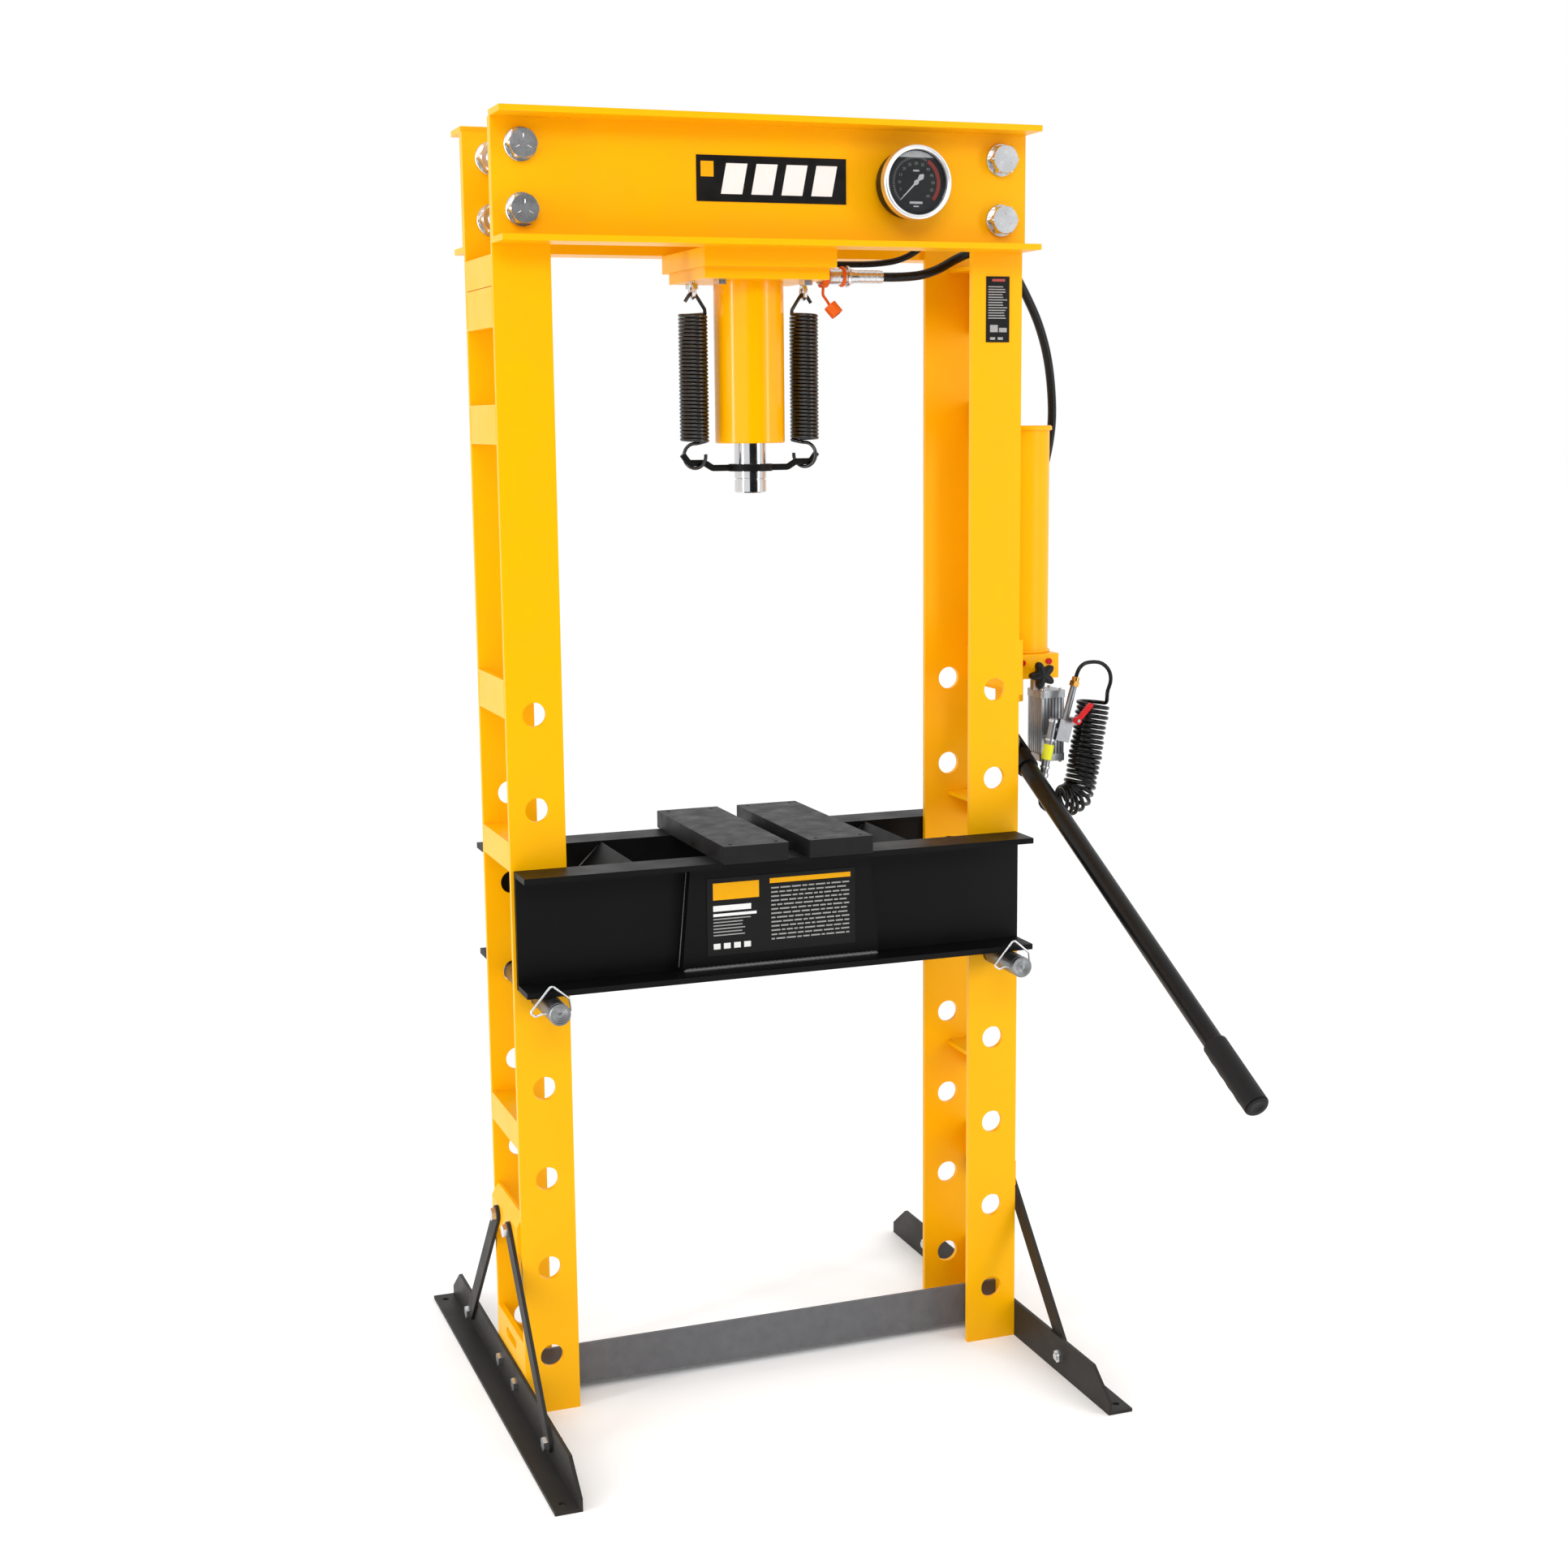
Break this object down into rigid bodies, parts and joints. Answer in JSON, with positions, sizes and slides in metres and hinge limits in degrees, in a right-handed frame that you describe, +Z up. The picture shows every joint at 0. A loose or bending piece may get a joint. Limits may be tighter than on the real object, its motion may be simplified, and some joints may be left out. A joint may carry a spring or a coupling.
{
  "type": "shop_press",
  "caption": "Floor-standing hydraulic shop press, yellow frame, black bed, spring-return ram, pressure gauge, air and hand pump with curly hose",
  "frame": {"origin": "On the floor at the centre of the four floor anchor holes, under the ram's axis", "axes": "+Z up along the ram's axis and the height of the frame, +Y to the back, +X to the operator's right, towards the pump"},
  "size_m": [0.9701, 1.0905, 1.78],
  "materials": {
    "yellow_paint": "powder coat, semi gloss",
    "charcoal_paint": "satin powder coat",
    "rail_paint": "satin powder coat",
    "black_paint": "satin powder coat",
    "plate_paint": "matt paint",
    "zinc_steel": "bright zinc plate",
    "chromed_steel": "hard chrome, ground",
    "machined_steel": "turned",
    "spring_lacquer": "gloss lacquer",
    "label_film": "printed film",
    "dial_print": "printed dial",
    "needle_paint": "gloss paint",
    "gauge_glass": "clear window",
    "hose_rubber": "smooth cover",
    "air_hose_plastic": "polyurethane",
    "orange_rubber": "moulded",
    "red_plastic": "moulded",
    "grip_rubber": "moulded grip",
    "knob_plastic": "moulded",
    "cast_aluminium": "cast, bead blasted",
    "brass": "machined"
  },
  "bodies": {
    "frame": {"front_top_beam": "yellow_paint", "rear_top_beam": "yellow_paint", "left_uprights": "yellow_paint", "right_uprights": "yellow_paint", "upright_battens": "yellow_paint", "upright_spacers": "yellow_paint", "leg_brackets": "yellow_paint", "ram_carrier": "yellow_paint", "cylinder_mount_plate": "yellow_paint", "cylinder_barrel": "yellow_paint", "cylinder_end_cap": "yellow_paint", "pump_casting": "yellow_paint", "oil_reservoir": "yellow_paint", "reservoir_cap": "yellow_paint", "foot_angles": "charcoal_paint", "foot_braces": "charcoal_paint", "lower_cross_rail": "rail_paint", "foot_bolts": "zinc_steel", "beam_bolts": "zinc_steel", "beam_nuts": "zinc_steel", "mount_plate_bolts": "zinc_steel", "air_valve_body": "zinc_steel", "hose_fittings": "zinc_steel", "gauge_bezel": "chromed_steel", "cylinder_gland": "machined_steel", "gauge_case": "machined_steel", "frame_labels": "label_film", "gauge_dial": "dial_print", "gauge_lens": "gauge_glass", "hydraulic_hose": "hose_rubber", "gauge_hose": "hose_rubber", "curly_air_hose": "air_hose_plastic", "inlet_air_lead": "air_hose_plastic", "outlet_air_lead": "air_hose_plastic", "coupler_dust_cap": "orange_rubber", "port_plugs": "red_plastic", "air_motor": "cast_aluminium", "brass_air_inlet": "brass"},
    "ram": {"ram_rod": "chromed_steel", "ram_nose": "chromed_steel", "piston": "machined_steel", "spring_yoke": "black_paint", "return_springs": "spring_lacquer"},
    "bed": {"bed_channels": "black_paint", "bed_web_plates": "black_paint", "bed_cross_ties": "black_paint", "bed_label": "label_film"},
    "left_plate": {"left_arbor_plate": "plate_paint"},
    "right_plate": {"right_arbor_plate": "plate_paint"},
    "left_pin": {"left_bed_pin": "zinc_steel"},
    "right_pin": {"right_bed_pin": "zinc_steel"},
    "left_clip": {"left_pin_clip": "zinc_steel"},
    "right_clip": {"right_pin_clip": "zinc_steel"},
    "handle": {"handle_socket": "black_paint", "handle_tube": "black_paint", "handle_grip": "grip_rubber"},
    "plunger": {"pump_plunger": "machined_steel"},
    "knob": {"release_knob": "knob_plastic"},
    "valve_lever": {"air_valve_lever": "red_plastic"},
    "needle": {"gauge_needle": "needle_paint"}
  },
  "joints": [
    {"name": "ram_slide", "type": "slide", "parent": "frame", "child": "ram", "axis": [0, 0, -1], "range_m": [0, 0.18], "stiffness_N_per_m": 2000, "springref_m": -0.1, "deforming": ["return_springs"]},
    {"name": "bed_height", "type": "slide", "parent": "frame", "child": "bed", "axis": [0, 0, 1], "range_m": [0, 0.2606]},
    {"name": "left_plate_slide", "type": "slide", "parent": "bed", "child": "left_plate", "axis": [-1, 0, 0], "range_m": [0, 0.15]},
    {"name": "right_plate_slide", "type": "slide", "parent": "bed", "child": "right_plate", "axis": [1, 0, 0], "range_m": [0, 0.15]},
    {"name": "left_pin_pull", "type": "slide", "parent": "frame", "child": "left_pin", "axis": [0, -1, 0], "range_m": [0, 0.24]},
    {"name": "right_pin_pull", "type": "slide", "parent": "frame", "child": "right_pin", "axis": [0, -1, 0], "range_m": [0, 0.24]},
    {"name": "left_clip_turn", "type": "hinge", "parent": "left_pin", "child": "left_clip", "pos_m": [-0.342, -0.166, 0.603], "axis": [1, 0, 0], "range_deg": [-10, 95]},
    {"name": "right_clip_turn", "type": "hinge", "parent": "right_pin", "child": "right_clip", "pos_m": [0.342, -0.166, 0.603], "axis": [1, 0, 0], "range_deg": [-10, 95]},
    {"name": "pump_handle", "type": "hinge", "parent": "frame", "child": "handle", "pos_m": [0.41, 0.025, 0.914], "axis": [-1, 0, 0], "range_deg": [0, 55]},
    {"name": "plunger_slide", "type": "slide", "parent": "frame", "child": "plunger", "axis": [0, 0, 1], "range_m": [0, 0.0326]},
    {"name": "release_turn", "type": "hinge", "parent": "frame", "child": "knob", "pos_m": [0.426, -0.05, 1.01], "axis": [0, -1, 0], "range_deg": [0, 340]},
    {"name": "valve_lever_press", "type": "hinge", "parent": "frame", "child": "valve_lever", "pos_m": [0.48, -0.079, 0.941], "axis": [0, -1, 0], "range_deg": [0, 20], "stiffness_Nm_per_rad": 0.05, "springref_deg": -11.46},
    {"name": "needle_turn", "type": "hinge", "parent": "frame", "child": "needle", "pos_m": [0.197, -0.131, 1.7], "axis": [0, 1, 0], "range_deg": [0, 270], "stiffness_Nm_per_rad": 0.000002, "springref_deg": -28.65}
  ],
  "couplings": [
    {"joint": "plunger_slide", "follows": "pump_handle", "m_per_rad": 0.0336}
  ]
}
